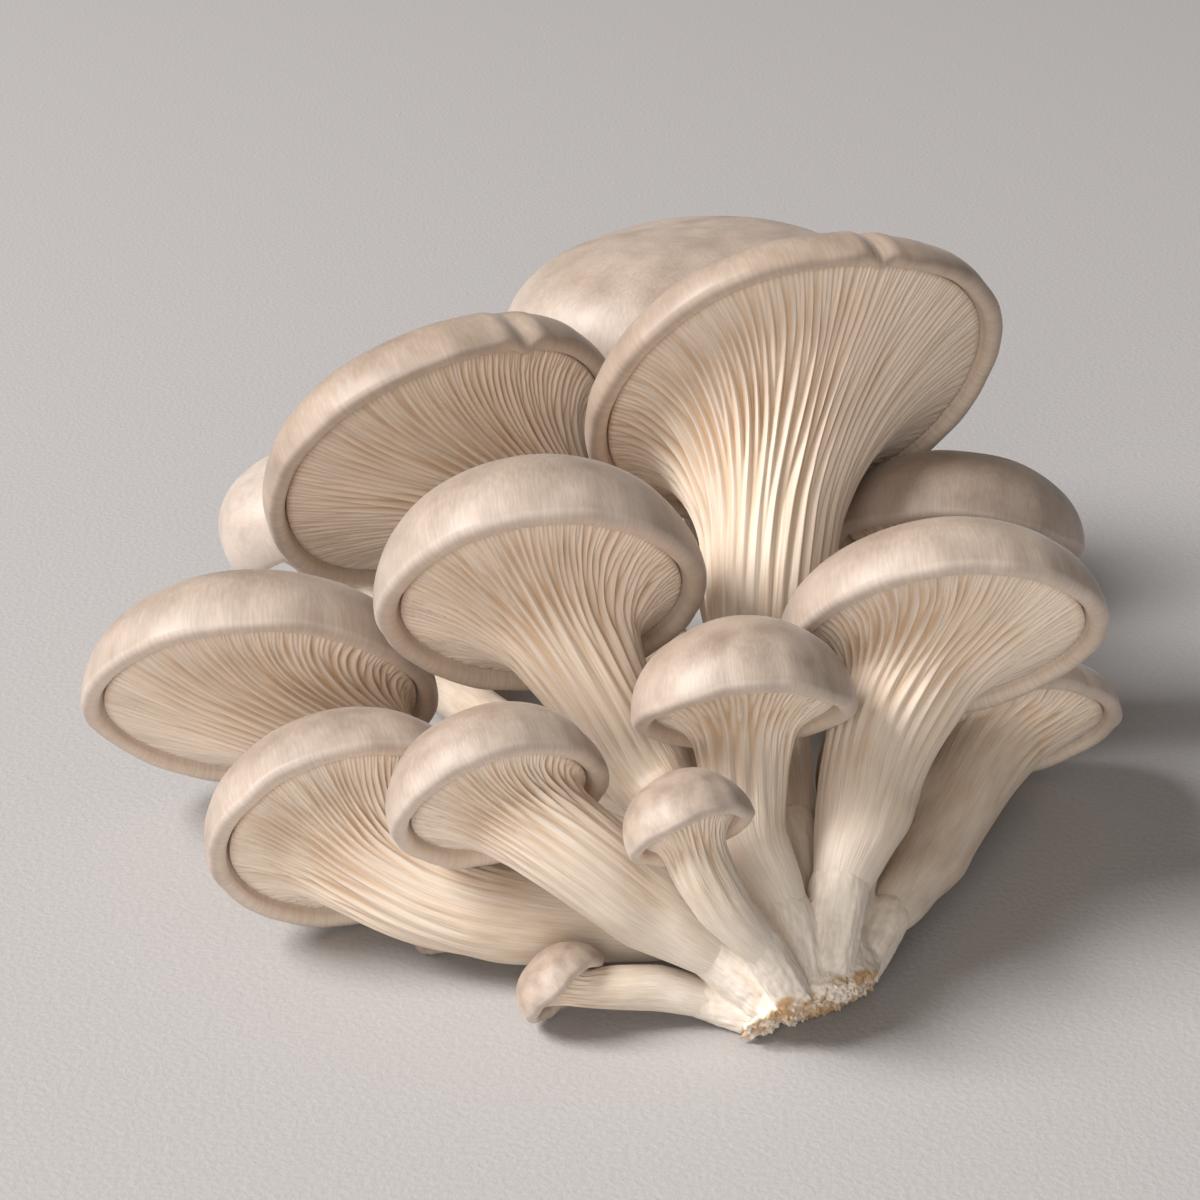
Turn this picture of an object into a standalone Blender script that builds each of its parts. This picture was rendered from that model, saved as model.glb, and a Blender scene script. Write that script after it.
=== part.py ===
"""Oyster mushroom cluster: one growth of caps on gilled stems that meet in a cut foot.

Every mushroom is two nodes, one for each colour of flesh: a domed cap with a rolled margin, and a
stem that flares into the gills under it. The lowest stretches of the stems grow together in the foot.

Frame: +Z up, +Y towards the back of the cluster, +X to its right. The origin is the middle of the
flat spot that the foot rests on. The sizes in the tables below are in millimetres and degrees.
"""

import math
from dataclasses import dataclass, field

import bmesh
import bpy
from mathutils import Vector, noise

MM = 0.001

# Fit between neighbouring solids
GAP = 0.45

# Cap section, as shares of the roll's radius or of the dome
FLESH_SHARE = 0.3
MARGIN_EDGE = 0.9
UNDER_GAP = 0.55
TRENCH = 0.75
ROLL_ANGLES = (-180, -120, -60, 0)
DOME_STEPS = (0.97, 0.88, 0.7, 0.35)
UNDER_STEPS = (0.5, 1.0)
DIP_SPREAD = 1.5

# Gilled stem
GILL_STEPS = (0.3, 0.62, 0.88, 1.0)
GILL_SWELL = (0.75, 1.0, 0.85, 0.3)
GILL_RAISED = 0.35
GILL_SUNK = 0.65
GILL_LIFT = 0.1
TOP_STEPS = (1.0, 0.55)
STEM_STEP = 15.0
FLARE_AT_NECK = 0.4
FLARE_AT_RIM = 0.36
RIM_CURL = 0.4
RIM_INNER = 0.9

# Foot
ROOT_SIDES = 10
ROOT_TIP, ROOT_WAIST, ROOT_TOP = 0.8, 0.83, 0.97
ROOTS_MEET = (3.0, -3.5, 1.0)
ROOT_SPREAD = 0.35
WAIST_DROP = 1.0
FOOT_CENTRE = (3.0, 12.5, 6.5)
FOOT_SIZE = (11.5, 18.0, 9.5)
FOOT_ROUGHNESS = 1.3
FOOT_GRAIN = 2.2
CUT_POINT = (0.2, 0.7, 4.3)
CUT_FACING = (0.43, -0.63, -0.64)
FOOT_SEED = 7.0
REST_SPOT = (2.0, 13.0, 0.0)

CAP_TAUPE = (0.45, 0.36, 0.29, 1.0)
GILL_CREAM = (0.74, 0.64, 0.52, 1.0)
FOOT_IVORY = (0.78, 0.72, 0.65, 1.0)
CAP_ROUGHNESS = 0.42
FLESH_ROUGHNESS = 0.62


@dataclass
class Mushroom:
    """One mushroom: its cap's rim, the stem's places from neck to root, and how far it is grown."""

    name: str
    rim: tuple  # middle of the rim's plane
    across: float  # rim radius along its level axis
    deep: float  # rim radius down its slope
    lean: float  # degrees that the cap's top leans from upright
    heading: float  # compass direction of that lean, from +X towards +Y
    dome: float  # rise of the skin above the rim's plane
    fullness: float  # how square the dome's shoulder is
    dip: float  # how far the dome's middle sinks, as a share of its rise
    roll: float  # radius of the rolled margin
    gills: int
    neck: tuple  # (x, y, z, radius) where the stem begins to flare
    stem: list = field(default_factory=list)  # (x, y, z, radius) from below the neck down to the root
    cap_sides: int = 24
    gill_depth: float = 1.0
    wave: float = 0.6  # rise and fall of the margin
    waves: int = 3
    lobe: float = 0.03  # in and out of the margin, as a share of its radius
    lobes: int = 2
    turn: float = 0.0  # where the waves begin, in degrees

    def axes(self):
        """The rim's level axis, its axis up the slope and the way that the top faces."""
        lean, heading = math.radians(self.lean), math.radians(self.heading)
        top = Vector((
            math.sin(lean) * math.cos(heading),
            math.sin(lean) * math.sin(heading),
            math.cos(lean),
        ))
        level = Vector((math.sin(heading), -math.cos(heading), 0.0))
        return level, top.cross(level), top

    def radius(self):
        return (self.across + self.deep) / 2

    def rim_offset(self, angle, share, lift):
        """A point at this share of the way out to the rim, lifted towards the cap's top."""
        level, slope, top = self.axes()
        turned = angle + math.radians(self.turn)
        lobed = share * (1 + self.lobe * math.sin(self.lobes * turned) * share)
        lifted = lift + self.wave * math.sin(self.waves * turned) * share**3
        return (
            Vector(self.rim)
            + level * (self.across * lobed * math.cos(angle))
            + slope * (self.deep * lobed * math.sin(angle))
            + top * lifted
        )

    def inset(self, distance):
        """The share of the rim's radius that lies this far inside it."""
        return 1 - distance / self.radius()

    def skin_height(self, share):
        sunk = 1 - self.dip * max(0.0, 1 - DIP_SPREAD * share**2) ** 2
        return self.dome * sunk * math.sqrt(max(0.0, 1 - share**self.fullness))

    def gill_share(self):
        """Where the gills end, just inside the rolled margin."""
        return self.inset(2 * self.roll + TRENCH)

    def gill_lift(self):
        """How far above the rim's plane the gills end."""
        return GILL_LIFT * self.roll

    def seam_height(self, share):
        """Height of the surface where the cap's flesh sits on the gilled flesh."""
        edge = self.gill_lift() + MARGIN_EDGE
        middle = edge + FLESH_SHARE * self.dome
        return middle - (middle - edge) * (share / self.gill_share()) ** 2


CLUSTER = [
    Mushroom(
        "top_right", rim=(3.5, 98.5, 77), across=40, deep=40, lean=60, heading=110,
        dome=12, fullness=5, dip=0.25, roll=1.7, gills=28,
        neck=(-3, 69.5, 49.5, 11.5), stem=[(-3, 55, 30.5, 8.0), (-0.5, 29, 23, 4.8)],
        gill_depth=1.5, wave=1.0, turn=40,
    ),
    Mushroom(
        "top_left", rim=(-62.5, 115, 55.5), across=36.5, deep=39, lean=58, heading=118,
        dome=14, fullness=5, dip=0.25, roll=1.7, gills=28,
        neck=(-34, 100.5, 43, 8.0), stem=[(-21.5, 78.5, 31, 6.4), (-10.5, 32.5, 16.5, 4.3)],
        gill_depth=1.4, wave=0.9, turn=200,
    ),
    Mushroom(
        "middle", rim=(-43, 46, 58.5), across=29, deep=29, lean=56, heading=100,
        dome=20, fullness=3.4, dip=0.15, roll=1.9, gills=24,
        neck=(-33, 39.5, 44.5, 9.2), stem=[(-24.5, 36, 30, 7.8), (-12, 19.5, 19, 4.6)],
        gill_depth=1.3,
    ),
    Mushroom(
        "far_left", rim=(-95, 67, 28), across=32.5, deep=32.5, lean=53, heading=96,
        dome=18, fullness=3.6, dip=0.2, roll=1.7, gills=24,
        neck=(-68.5, 58.5, 19.5, 8.2), stem=[(-40, 48.5, 12, 6.6), (-17.5, 30.5, 11.5, 4.5)],
        gill_depth=1.2,
    ),
    Mushroom(
        "low_left", rim=(-75.5, 27, 23), across=25.5, deep=23.5, lean=69, heading=108,
        dome=16, fullness=3.8, dip=0.15, roll=1.6, gills=24,
        neck=(-62.5, 21, 14.5, 9.0), stem=[(-44, 20, 10.5, 8.0), (-18, 18, 9, 4.7)],
        gill_depth=1.2,
    ),
    Mushroom(
        "low_middle", rim=(-49.5, 10, 38.5), across=19, deep=19, lean=58, heading=111,
        dome=14.5, fullness=2.6, dip=0, roll=1.6, gills=20,
        neck=(-37, 4.5, 33, 8.4), stem=[(-24.5, 4.5, 22, 7.4), (-13.5, 4, 13.5, 5.0)],
        cap_sides=20,
    ),
    Mushroom(
        "front_middle", rim=(-9, 20, 50), across=19, deep=19, lean=42, heading=97,
        dome=15.5, fullness=2.3, dip=0, roll=1.7, gills=18,
        neck=(-9, 20, 41, 7.4), stem=[(-8, 15, 30.5, 6.4), (-2, 7, 19.5, 4.2)],
        cap_sides=20,
    ),
    Mushroom(
        "front_small", rim=(-18.5, -3.5, 40.5), across=11, deep=11, lean=49, heading=117,
        dome=10, fullness=2.3, dip=0, roll=1.3, gills=14,
        neck=(-16.5, -6, 34.5, 5.0), stem=[(-12.5, -6, 27.5, 4.5), (-6.5, -4.5, 19.5, 3.6)],
        cap_sides=16, gill_depth=0.7, wave=0.3,
    ),
    Mushroom(
        "right", rim=(26.5, 44, 52), across=29, deep=29, lean=52, heading=97,
        dome=15, fullness=3.6, dip=0.15, roll=1.8, gills=24,
        neck=(15, 34, 37.5, 9.6), stem=[(11.5, 22.5, 29.5, 8.0), (7, 12, 21, 5.0)],
        gill_depth=1.3,
    ),
    Mushroom(
        "far_right", rim=(45, 77.5, 17.5), across=20.5, deep=20.5, lean=52, heading=99,
        dome=9, fullness=4, dip=0.1, roll=1.5, gills=18,
        neck=(37, 66.5, 15.5, 8.0), stem=[(26, 42.5, 11, 7.0), (16, 20.5, 10, 4.1)],
        cap_sides=20,
    ),
    Mushroom(
        "front_low", rim=(-39, 2.5, 7.5), across=8.5, deep=8.5, lean=56, heading=142,
        dome=7, fullness=2.3, dip=0, roll=1.2, gills=14,
        neck=(-31, 2.5, 7.5, 3.7), stem=[(-23, 4, 6.5, 3.9), (-14.5, 4, 4, 3.4)],
        cap_sides=16, gill_depth=0.4, wave=0.3,
    ),
    Mushroom(
        "back_top", rim=(-13.5, 162, 68.5), across=39, deep=35.5, lean=6, heading=119,
        dome=19, fullness=2.6, dip=0, roll=1.9, gills=20,
        neck=(-11.5, 139, 55, 8.0), stem=[(-6, 109.5, 24.5, 6.8), (2, 35, 13, 4.6)],
        gill_depth=1.2, wave=1.4, turn=70,
    ),
    Mushroom(
        "back_left", rim=(-97, 152, 28), across=16.5, deep=16.5, lean=35, heading=190,
        dome=13, fullness=2.6, dip=0, roll=1.6, gills=18,
        neck=(-89, 151.5, 15.5, 5.2), stem=[(-60, 105, 9.5, 5.2), (-10, 34, 6, 4.3)],
        gill_depth=0.9,
    ),
    Mushroom(
        "back_right", rim=(35, 101.5, 45), across=24.5, deep=24.5, lean=37, heading=83,
        dome=16, fullness=2.6, dip=0, roll=1.8, gills=18,
        neck=(27, 91, 32, 7.0), stem=[(13, 64.5, 17.5, 5.8), (11.5, 29.5, 18.5, 4.4)],
        gill_depth=1.1,
    ),
    Mushroom(
        "low_tiny", rim=(-61.5, 28, 3.5), across=5, deep=5, lean=38, heading=235,
        dome=3, fullness=2.3, dip=0, roll=0.7, gills=10,
        neck=(-58, 31, 2.5, 1.9), stem=[(-48, 34, 3, 2.0), (-33, 33, 3, 2.2), (-16, 25, 3.5, 2.2)],
        cap_sides=14, gill_depth=0.3, wave=0.1,
    ),
    Mushroom(
        "rear_low_left", rim=(-30, 112, 13), across=13, deep=13, lean=75, heading=100,
        dome=7, fullness=3, dip=0.1, roll=1.3, gills=16,
        neck=(-26, 98, 12, 4.4), stem=[(-18, 72, 8, 4.0), (-1.5, 38, 4, 3.3)],
        cap_sides=16, gill_depth=0.8,
    ),
    Mushroom(
        "rear_low_right", rim=(26, 108, 12), across=12.5, deep=12.5, lean=70, heading=78,
        dome=7, fullness=3, dip=0.1, roll=1.3, gills=16,
        neck=(22, 95, 10, 4.2), stem=[(21, 70, 5.5, 3.6), (9, 33, 5, 3.3)],
        cap_sides=16, gill_depth=0.8,
    ),
]


def to_metres(point):
    """A place in the tables, in metres from the middle of the foot's resting spot."""
    return (Vector(point) - Vector(REST_SPOT)) * MM


def ring_face(mesh, ring, outwards):
    """Closes a ring with one face."""
    mesh.faces.new(ring if outwards else list(reversed(ring)))


def stitch(mesh, lower, upper):
    """Joins two rings, of which one has a whole number of times the other's corners."""
    low, high = len(lower), len(upper)
    for i in range(max(low, high)):
        a, b = lower[i * low // max(low, high)], lower[(i + 1) * low // max(low, high) % low]
        c, d = upper[(i + 1) * high // max(low, high) % high], upper[i * high // max(low, high)]
        corners = [v for n, v in enumerate((a, b, c, d)) if v not in (a, b, c, d)[:n]]
        mesh.faces.new(corners)


def loft(name, rings, material):
    """One closed object through rings of points, listed from its lower end to its upper one."""
    mesh = bmesh.new()
    loops = [[mesh.verts.new(to_metres(p)) for p in ring] for ring in rings]
    for lower, upper in zip(loops, loops[1:]):
        stitch(mesh, lower, upper)
    ring_face(mesh, loops[0], outwards=False)
    ring_face(mesh, loops[-1], outwards=True)
    bmesh.ops.triangulate(mesh, faces=[f for f in mesh.faces if len(f.verts) > 4])
    bmesh.ops.recalc_face_normals(mesh, faces=mesh.faces)
    data = bpy.data.meshes.new(name)
    mesh.to_mesh(data)
    mesh.free()
    data.materials.append(material)
    data.shade_smooth()
    made = bpy.data.objects.new(name, data)
    bpy.context.scene.collection.objects.link(made)
    return made


def make_material(name, colour, roughness):
    material = bpy.data.materials.new(name)
    material.use_nodes = True
    shader = material.node_tree.nodes["Principled BSDF"]
    shader.inputs["Base Color"].default_value = colour
    shader.inputs["Roughness"].default_value = roughness
    return material


def angles(count):
    return [2 * math.pi * i / count for i in range(count)]


def cap_rings(mushroom):
    """Rings of a cap: under its flesh from the middle out, round the rolled margin and over the dome."""
    m = mushroom
    wall = m.inset(2 * m.roll)
    sections = [(wall * k, m.seam_height(wall * k) + UNDER_GAP) for k in UNDER_STEPS]
    for degrees in ROLL_ANGLES:
        turn = math.radians(degrees)
        sections.append((m.inset(m.roll * (1 - math.cos(turn))), m.roll * math.sin(turn)))
    sections += [(k, m.skin_height(k)) for k in DOME_STEPS]
    return [[m.rim_offset(a, share, lift) for a in angles(m.cap_sides)] for share, lift in sections]


def curve_through(points, steps):
    """Points along a smooth curve through (x, y, z, radius) stations, as Catmull-Rom spans."""
    ends = [2 * points[0] - points[1], *points, 2 * points[-1] - points[-2]]
    found = []
    for before, start, stop, after in zip(ends, ends[1:], ends[2:], ends[3:]):
        count = max(1, round((stop - start).xyz.length / steps))
        for i in range(count):
            t = i / count
            found.append(0.5 * (
                2 * start + (stop - before) * t
                + (2 * before - 5 * start + 4 * stop - after) * t**2
                + (3 * start - before - 3 * stop + after) * t**3
            ))
    return [*found, points[-1]]


def circle(centre, radius, across, along, count):
    return [centre + (across * math.cos(a) + along * math.sin(a)) * radius for a in angles(count)]


def stem_line(mushroom):
    """Stations from the neck down to the root, and the frame that each ring lies in."""
    m = mushroom
    line = curve_through([Vector(p) for p in (m.neck, *m.stem)], STEM_STEP)
    level, slope, top = m.axes()
    up = (Vector(m.rim) - Vector(m.neck).xyz).normalized()
    frames = []
    facing = top
    for i, station in enumerate(line):
        below = line[min(i + 1, len(line) - 1)].xyz
        above = line[i - 1].xyz if i else Vector(m.rim)
        along = (above - below).normalized()
        if not i:
            along = (up + (line[0] - line[1]).xyz.normalized()).normalized()
        turn = facing.rotation_difference(along)
        level, slope, facing = turn @ level, turn @ slope, along
        frames.append((station.xyz, station.w, level.copy(), slope.copy(), facing.copy()))
    return frames


def gill_surface(mushroom, neck, angle, t):
    """A point of the smooth flare from the neck (t = 0) out to the margin (t = 1)."""
    m = mushroom
    centre, radius, level, slope, up = neck
    start = centre + (level * math.cos(angle) + slope * math.sin(angle)) * radius
    end = m.rim_offset(angle, m.gill_share(), m.gill_lift())
    inner = m.rim_offset(angle, m.gill_share() * RIM_INNER, m.gill_lift())
    outwards = ((end - inner).normalized() + m.axes()[2] * RIM_CURL).normalized()
    reach = (end - start).length
    first = start + up * (FLARE_AT_NECK * reach)
    second = end - outwards * (FLARE_AT_RIM * reach)
    s = 1 - t
    return start * s**3 + first * (3 * s * s * t) + second * (3 * s * t * t) + end * t**3


def gill_rings(mushroom, neck):
    """Rings of the flare, raised and sunk by turns into gills."""
    m = mushroom
    count = 2 * m.gills
    step = 0.01
    rings = []
    for t, swell in zip(GILL_STEPS, GILL_SWELL):
        ring = []
        for i, angle in enumerate(angles(count)):
            here = gill_surface(m, neck, angle, t)
            round_it = gill_surface(m, neck, angle + step, t) - here
            outward = here - gill_surface(m, neck, angle, t - step)
            face = round_it.cross(outward).normalized()
            depth = m.gill_depth * swell * (GILL_RAISED if i % 2 else -GILL_SUNK)
            ring.append(here + face * depth)
        rings.append(ring)
    return rings


def gilled_stem_rings(mushroom):
    """Rings of a gilled stem from its root up, out to the margin and back over its top."""
    m = mushroom
    frames = stem_line(m)
    rings = []
    for centre, radius, level, slope, _ in reversed(frames[1:]):
        rings.append(circle(centre, radius, level, slope, m.gills // 2))
    centre, radius, level, slope, _ = frames[0]
    rings.append(circle(centre, radius, level, slope, m.gills))
    rings += gill_rings(m, frames[0])
    for k, count in zip(TOP_STEPS, (2 * m.gills, m.gills)):
        share = m.gill_share() * k
        rings.append([m.rim_offset(a, share, m.seam_height(share)) for a in angles(count)])
    return rings


def slice_flat(mesh, point, facing):
    """Takes off what lies beyond a plane and closes the cut."""
    whole = [*mesh.verts, *mesh.edges, *mesh.faces]
    sliced = bmesh.ops.bisect_plane(
        mesh, geom=whole, plane_co=to_metres(point), plane_no=facing, clear_outer=True
    )
    rim = [e for e in sliced["geom_cut"] if isinstance(e, bmesh.types.BMEdge)]
    bmesh.ops.edgenet_fill(mesh, edges=rim)


def rough_core(material):
    """The foot's uneven middle, before the roots join it."""
    core = bmesh.new()
    bmesh.ops.create_icosphere(core, subdivisions=3, radius=1.0)
    for vert in core.verts:
        rough = FOOT_ROUGHNESS * noise.noise(vert.co * FOOT_GRAIN + Vector((FOOT_SEED,) * 3))
        vert.co = to_metres([c + v * (s + rough) for c, v, s in zip(FOOT_CENTRE, vert.co, FOOT_SIZE)])
    data = bpy.data.meshes.new("foot")
    core.to_mesh(data)
    core.free()
    data.materials.append(material)
    foot = bpy.data.objects.new("foot", data)
    bpy.context.scene.collection.objects.link(foot)
    return foot


def root_rings(mushroom):
    """Rings of the strand that carries a stem on to the cut."""
    centre, radius, level, slope, facing = stem_line(mushroom)[-1]
    top = centre - facing * GAP
    tip = Vector(ROOTS_MEET) + (top - Vector(ROOTS_MEET)) * ROOT_SPREAD
    waist = (top + tip) / 2 - facing * WAIST_DROP
    places = ((tip, ROOT_TIP), (waist, ROOT_WAIST), (top, ROOT_TOP))
    return [circle(place, radius * k, level, slope, ROOT_SIDES) for place, k in places]


def fuse(body, others):
    """Joins a collection's objects to a body and removes them."""
    join = body.modifiers.new("Join", "BOOLEAN")
    join.operation = "UNION"
    join.operand_type = "COLLECTION"
    join.collection = others
    join.solver = "EXACT"
    bpy.context.view_layer.update()
    graph = bpy.context.evaluated_depsgraph_get()
    fused = bpy.data.meshes.new_from_object(body.evaluated_get(graph))
    body.modifiers.clear()
    body.data = fused
    for other in list(others.objects):
        bpy.data.objects.remove(other)
    bpy.data.collections.remove(others)


def make_foot(material):
    """The grown-together foot: a core and a strand under each stem, cut where it rests and was torn."""
    foot = rough_core(material)
    roots = bpy.data.collections.new("roots")
    bpy.context.scene.collection.children.link(roots)
    for mushroom in CLUSTER:
        root = loft(f"root_{mushroom.name}", root_rings(mushroom), material)
        bpy.context.scene.collection.objects.unlink(root)
        roots.objects.link(root)
    fuse(foot, roots)

    cut = bmesh.new()
    cut.from_mesh(foot.data)
    for point, facing in (((0, 0, 0), (0, 0, -1)), (CUT_POINT, CUT_FACING)):
        slice_flat(cut, point, facing)
    bmesh.ops.triangulate(cut, faces=cut.faces)
    bmesh.ops.recalc_face_normals(cut, faces=cut.faces)
    cut.to_mesh(foot.data)
    cut.free()
    return foot


def main():
    for old in list(bpy.data.objects):
        bpy.data.objects.remove(old)
    skin = make_material("cap_skin", CAP_TAUPE, CAP_ROUGHNESS)
    flesh = make_material("gilled_flesh", GILL_CREAM, FLESH_ROUGHNESS)
    rough_flesh = make_material("foot_flesh", FOOT_IVORY, FLESH_ROUGHNESS)
    for mushroom in CLUSTER:
        loft(f"cap_{mushroom.name}", cap_rings(mushroom), skin)
        loft(f"stem_{mushroom.name}", gilled_stem_rings(mushroom), flesh)
    make_foot(rough_flesh)


main()
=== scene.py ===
"""Looks of an oyster mushroom cluster: fine caps, gilled stems and a torn foot on a pale floor.

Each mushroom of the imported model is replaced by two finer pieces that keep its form: the cap's
skin and the gilled flesh that runs down into its stem. The foot becomes one rough, torn piece.

Frame: +Z up, +Y towards the back of the cluster, +X to its right, metres. The cluster's own sizes
are in millimetres and degrees, as they are in the part's source.
"""

import logging
import math
from dataclasses import dataclass, field
from enum import Enum

import bpy
import numpy as np
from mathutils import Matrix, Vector, noise

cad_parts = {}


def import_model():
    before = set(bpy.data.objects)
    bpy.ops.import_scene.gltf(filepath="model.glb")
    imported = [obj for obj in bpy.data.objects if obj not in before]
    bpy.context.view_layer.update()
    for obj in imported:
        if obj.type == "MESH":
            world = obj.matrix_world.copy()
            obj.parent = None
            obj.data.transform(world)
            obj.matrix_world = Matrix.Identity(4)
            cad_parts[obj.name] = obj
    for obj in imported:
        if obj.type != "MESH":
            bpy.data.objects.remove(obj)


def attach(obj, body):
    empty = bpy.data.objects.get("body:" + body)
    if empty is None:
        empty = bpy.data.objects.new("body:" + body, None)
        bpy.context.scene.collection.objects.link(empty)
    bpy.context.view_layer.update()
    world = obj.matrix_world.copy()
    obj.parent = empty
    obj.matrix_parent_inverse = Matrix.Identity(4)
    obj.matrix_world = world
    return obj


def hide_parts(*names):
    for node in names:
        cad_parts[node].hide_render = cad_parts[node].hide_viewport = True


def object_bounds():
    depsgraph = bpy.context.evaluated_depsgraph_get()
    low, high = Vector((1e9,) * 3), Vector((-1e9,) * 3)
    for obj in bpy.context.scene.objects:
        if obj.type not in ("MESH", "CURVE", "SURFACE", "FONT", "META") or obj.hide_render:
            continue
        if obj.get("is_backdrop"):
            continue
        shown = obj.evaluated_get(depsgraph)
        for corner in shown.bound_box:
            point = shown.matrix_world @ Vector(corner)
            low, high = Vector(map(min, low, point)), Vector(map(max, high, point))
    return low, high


MM = 0.001
BODY = "root"
LOG = logging.getLogger("mushrooms")

# Middle of the foot's resting spot, in the millimetres of the cluster table
REST_SPOT = np.array((2.0, 13.0, 0.0))

# Cap section, as in the part's source
FLESH_SHARE = 0.3
MARGIN_EDGE = 0.9
UNDER_GAP = 0.55
TRENCH = 0.75
GILL_END_LIFT = 0.1

# Flare from the neck to the margin, as in the part's source
FLARE_AT_NECK = 0.4
FLARE_AT_RIM = 0.36
RIM_CURL = 0.4

# Foot, as in the part's source
ROOTS_MEET = np.array((3.0, -3.5, 1.0))
ROOT_SPREAD = 0.35
WAIST_DROP = 1.0
FOOT_CENTRE = np.array((3.0, 12.5, 6.5))
FOOT_SIZE = np.array((11.5, 18.0, 9.5))
CUT_POINT = np.array((0.2, 0.7, 4.3))
CUT_FACING = np.array((0.43, -0.63, -0.64))

# Two brown pits in the foot as (place, width, depth), and a tuft of fibres at the cut's lower end
# with its upward bow and its thickness at root and tip
PITS = (((-6.5, -1.8, 8.3), 1.9, 1.3), ((14.6, 14.6, 10.4), 1.2, 0.8))
TUFT_ROOT = np.array((-5.5, -0.9, 3.3))
TUFT_ENDS = ((-9.6, -2.6, 0.6), (-8.2, -3.0, 0.7), (-7.2, -1.8, 0.6), (-6.2, -2.8, 1.0))
TUFT_BOW = np.array((0, 0, 0.5))
TUFT_THICK, TUFT_TIP = 1.25, 0.28

# How soon the skin's fibrils lose their spoke pattern towards the crown
CROWN_GRAIN = 0.6

# Unevenness round a cap as (waves in a turn, size): its margin's lift and outline, and its dome
MARGIN_LIFT = ((5, 0.35), (8, 0.25), (13, 0.12))
MARGIN_RIPPLE = ((7, 0.10), (11, 0.08), (17, 0.06), (29, 0.04))
DOME_LUMPS = ((2, 0.25), (3, 0.2), (5, 0.12))
LARGEST_RADIUS = 40

# The number edge on a cap: 0 at the crown, 1 at the rim, 2 where the roll ends. Up to these numbers
# the dome has lumps, a dent is cut and the roll is uneven; the last is under the flesh.
LUMPS_END, DENT_END, ROLL_END, UNDERSIDE = 0.97, 1.6, 2.0, 2.2

# A dent's raised sides: their height as a share of its depth, and how many widths out they lie
DENT_SIDES, DENT_SIDES_AT = 0.45, 2.2

# A root strand runs from 1 at the cut to 0 at the stem's end and, below 0, on as a sleeve: its size
# as a share of the stem's, and its ridges and ragged edge as (waves in a turn, share)
SLEEVE_SIZE = ((-0.3, -0.12, 0.0, 0.5, 1.0), (0.91, 0.995, 1.02, 0.97, 0.87))
STRAND_RIDGES = ((5, 0.03), (8, 0.03), (13, 0.025))
RAGGED_EDGE = ((2, 0.05), (5, 0.05), (9, 0.05))

# Noise on the foot, in cells a millimetre: felt and crumbs, and fibres round and along a strand
LUMP_NOISE, CRUMB_NOISE = 0.9, 2.1
FIBRE_ROUND, FIBRE_ALONG = 16, 0.12

# Distance from where the roots meet to which the flesh is white, and over which it turns cream
WHITE_AT = 13.0
WHITE_RUN = 36.0

# Gills of caps up to this radius double twice instead of three times
SMALL_RADIUS = 9

# Share of its size that a stem keeps where it ends inside the foot, and its lumps as (waves, share)
STEM_END = 0.92
STEM_LUMPS = ((2, 1.0), (3, 0.6))
STEM_LUMP_SIZE, STEM_LUMP_TURN = 0.03, 0.35

# From -1 low on a stem over 0 at the neck to 1 at the margin: the gills' height as a share of the
# mushroom's gill depth, and how strongly painted shade darkens the hollows between them
GILL_SWELL = ((-1, -0.5, 0, 0.3, 0.62, 0.88, 1.0), (0, 0.08, 0.45, 0.85, 1.05, 0.8, 0.3))
GILL_HOLLOW_SHADE = ((-1, -0.5, 0, 0.35, 0.6, 1.0), (0, 0.1, 0.7, 1.0, 1.0, 0.7))

# Place on a stem, and doublings of its gills, up to which a ring needs a quarter or half its points
BARE_UNTIL, HALF_UNTIL = -0.5, 0.7

# Sideways sway of the gills as (waves in a turn, gill spacings), and numbers for their chances
GILL_SWAY = ((2, 0.2), (3, 0.14), (5, 0.08), (9, 0.035))
CHANCE = (12.9898, 78.233, 437.585)

# How gill-like the finish is at the neck, and the shares of the gills' end where the flare closes
GROWN_AT_NECK = 0.4
CLOSING_SHARES = (1.0, 0.55)

# Where the mix node keeps its two colours and its result
MIX_FIRST, MIX_SECOND, MIX_RESULT = 6, 7, 2

Grid = np.ndarray
Triple = tuple[float, float, float]
Four = tuple[float, float, float, float]
Socket = bpy.types.NodeSocket
Material = bpy.types.Material
Thing = bpy.types.Object


class Slot(Enum):
    """The record's material slots."""

    CAP = "cap_skin"
    FLESH = "gilled_flesh"
    FOOT = "foot_flesh"


def unit(vectors: Grid) -> Grid:
    """Vectors at length one."""
    return vectors / np.maximum(np.linalg.norm(vectors, axis=-1, keepdims=True), 1e-9)


def ease(x: Grid) -> Grid:
    """0 below 0, 1 above 1 and a soft rise between."""
    x = np.clip(x, 0.0, 1.0)
    return x * x * (3 - 2 * x)


def round_angles(count: int) -> Grid:
    """Evenly spaced angles of a full turn."""
    return np.arange(count) * (2 * math.pi / count)


def rolling(angle: Grid, seed: float, parts: tuple[tuple[int, float], ...]) -> Grid:
    """A closed, irregular wave round a turn.

    Args:
        angle: Where to read it, in radians.
        seed: Shifts each part's phase.
        parts: Pairs of waves in a turn and height.

    Returns:
        The wave's height at each angle.
    """
    return sum(h * np.sin(n * angle + seed * (1.7 * n + 0.9)) for n, h in parts)


def whiteness(points: Grid) -> Grid:
    """How white the flesh is: 1 where the roots meet, 0 up the stems."""
    away = np.linalg.norm(points - ROOTS_MEET, axis=-1)
    return ease(1 - (away - WHITE_AT) / WHITE_RUN)


def on_curve(points: list[Grid], t: float) -> Grid:
    """The place on a smooth curve through four points.

    Args:
        points: The four points, in order.
        t: How far along it lies, from 0 at the second point to 1 at the third.

    Returns:
        The place.
    """
    before, start, stop, after = points
    return 0.5 * (
        2 * start + (stop - before) * t
        + (2 * before - 5 * start + 4 * stop - after) * t**2
        + (3 * start - before - 3 * stop + after) * t**3
    )


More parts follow.
